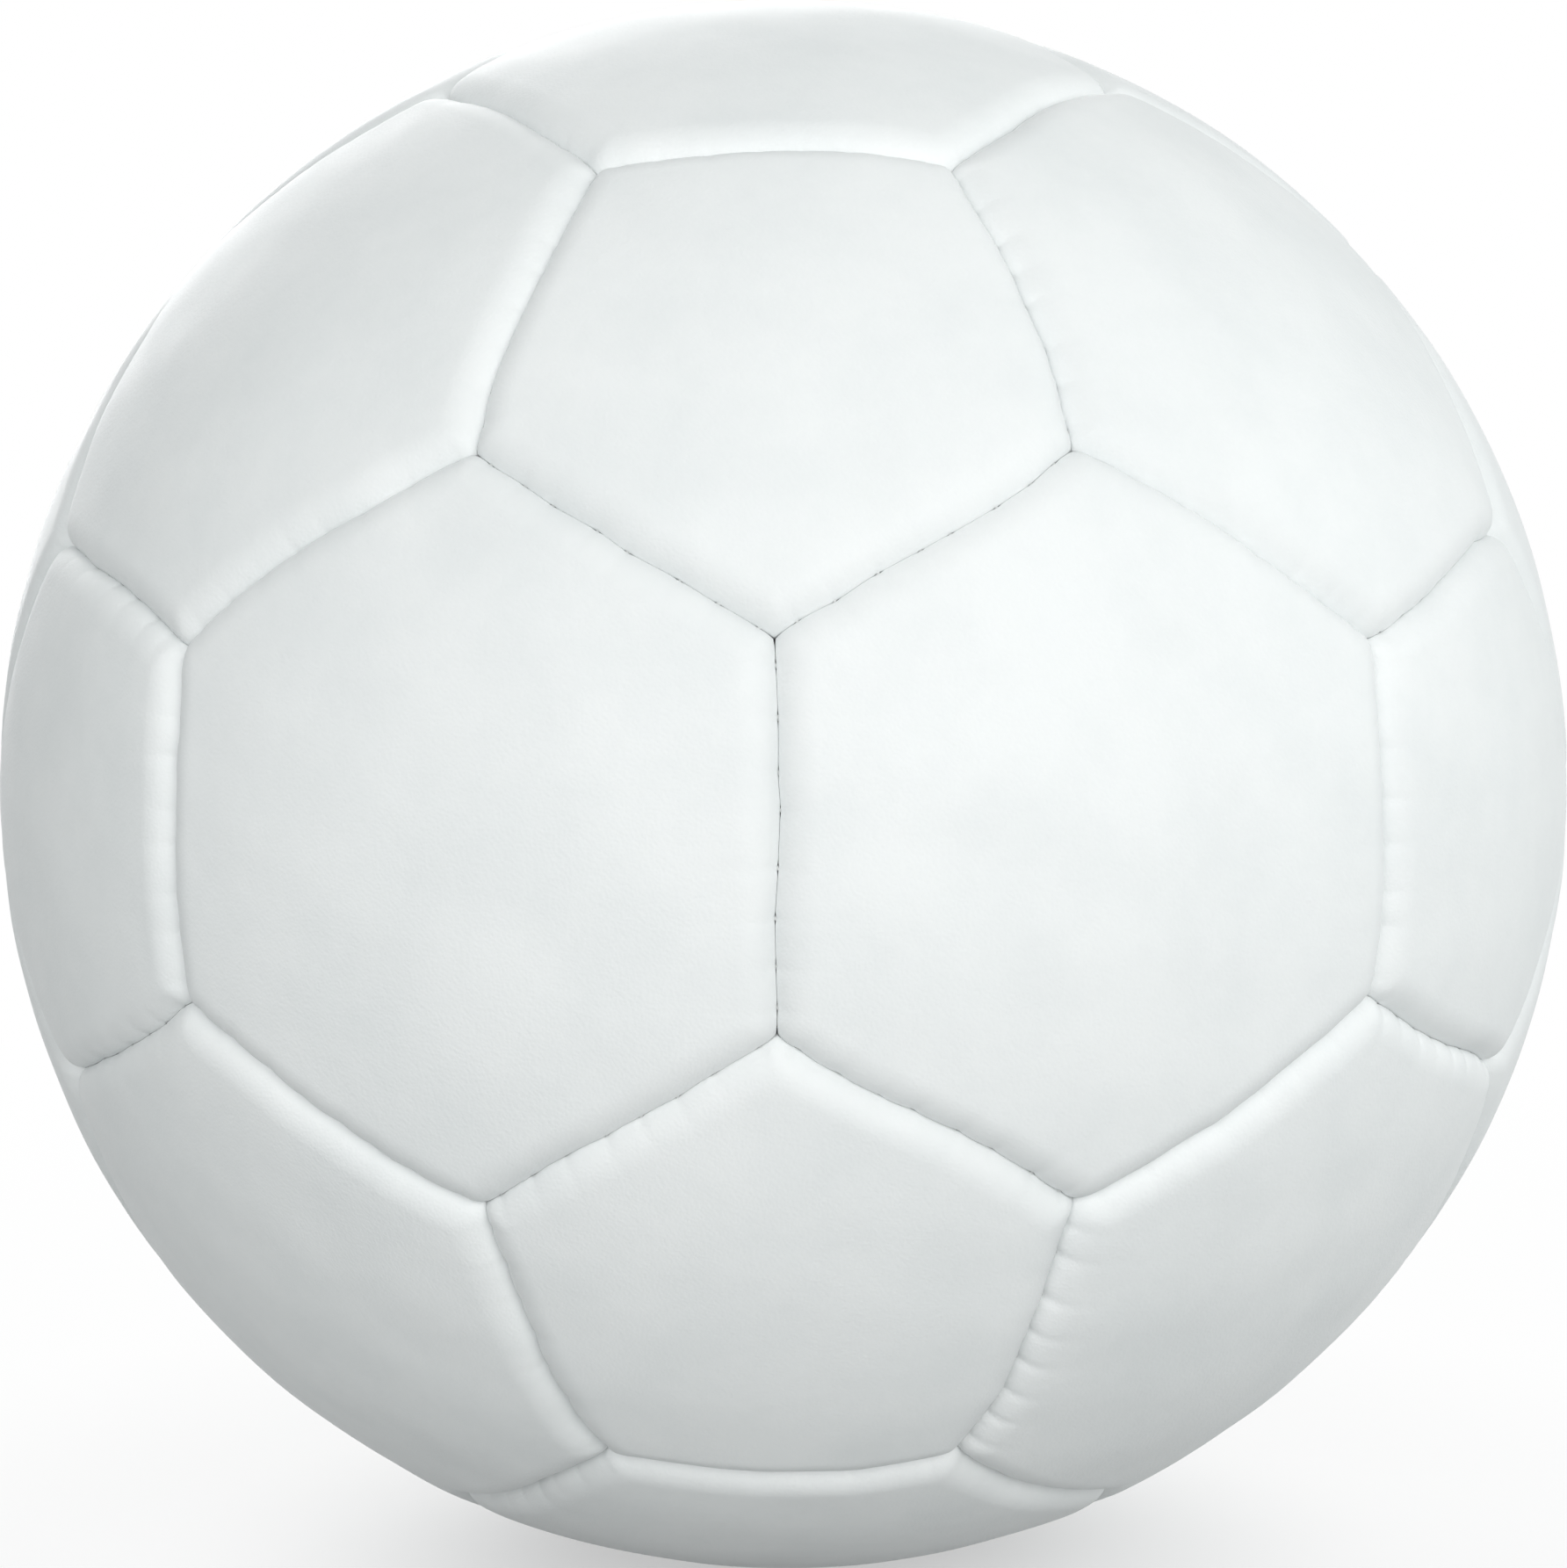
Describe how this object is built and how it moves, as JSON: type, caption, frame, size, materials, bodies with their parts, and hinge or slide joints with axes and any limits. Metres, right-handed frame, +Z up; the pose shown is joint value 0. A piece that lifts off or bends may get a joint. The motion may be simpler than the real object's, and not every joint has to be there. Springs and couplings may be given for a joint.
{
  "type": "korfball ball",
  "caption": "Hand-stitched hollow sports ball of pentagon and hexagon leather panels over an inflated rubber bladder, with a needle valve whose plug pulls out.",
  "frame": {"origin": "centre of the ball", "axes": "+Z up as in the picture, -Y towards the camera, +X to the picture's right; each axis passes through the middle of a seam between two hexagons"},
  "size_m": [0.2174, 0.2174, 0.2174],
  "materials": {
    "panel_leather": "satin white synthetic leather with a fine grain",
    "seam_thread": "waxed off-white polyester thread",
    "bladder_rubber": "matt black butyl",
    "valve_rubber": "matt black moulded rubber",
    "lining_cloth": "cream woven cloth"
  },
  "bodies": {
    "ball": {"hexagon_panel_01": "panel_leather", "hexagon_panel_02": "panel_leather", "hexagon_panel_03": "panel_leather", "hexagon_panel_04": "panel_leather", "hexagon_panel_05": "panel_leather", "hexagon_panel_06": "panel_leather", "hexagon_panel_07": "panel_leather", "hexagon_panel_08": "panel_leather", "hexagon_panel_09": "panel_leather", "hexagon_panel_10": "panel_leather", "hexagon_panel_11": "panel_leather", "hexagon_panel_12": "panel_leather", "hexagon_panel_13": "panel_leather", "hexagon_panel_14": "panel_leather", "hexagon_panel_15": "panel_leather", "hexagon_panel_16": "panel_leather", "hexagon_panel_17": "panel_leather", "hexagon_panel_18": "panel_leather", "hexagon_panel_19": "panel_leather", "hexagon_panel_valve": "panel_leather", "pentagon_panel_01": "panel_leather", "pentagon_panel_02": "panel_leather", "pentagon_panel_03": "panel_leather", "pentagon_panel_04": "panel_leather", "pentagon_panel_05": "panel_leather", "pentagon_panel_06": "panel_leather", "pentagon_panel_07": "panel_leather", "pentagon_panel_08": "panel_leather", "pentagon_panel_09": "panel_leather", "pentagon_panel_10": "panel_leather", "pentagon_panel_11": "panel_leather", "pentagon_panel_12": "panel_leather", "seam_thread": "seam_thread", "bladder": "bladder_rubber", "valve_housing": "valve_rubber", "valve_reinforcing_ring": "lining_cloth"},
    "valve_plug": {"valve_plug": "valve_rubber"}
  },
  "joints": [
    {"name": "plug_pull", "type": "slide", "parent": "ball", "child": "valve_plug", "axis": [-0.3568, 0.9342, 0], "range_m": [0, 0.02]}
  ]
}
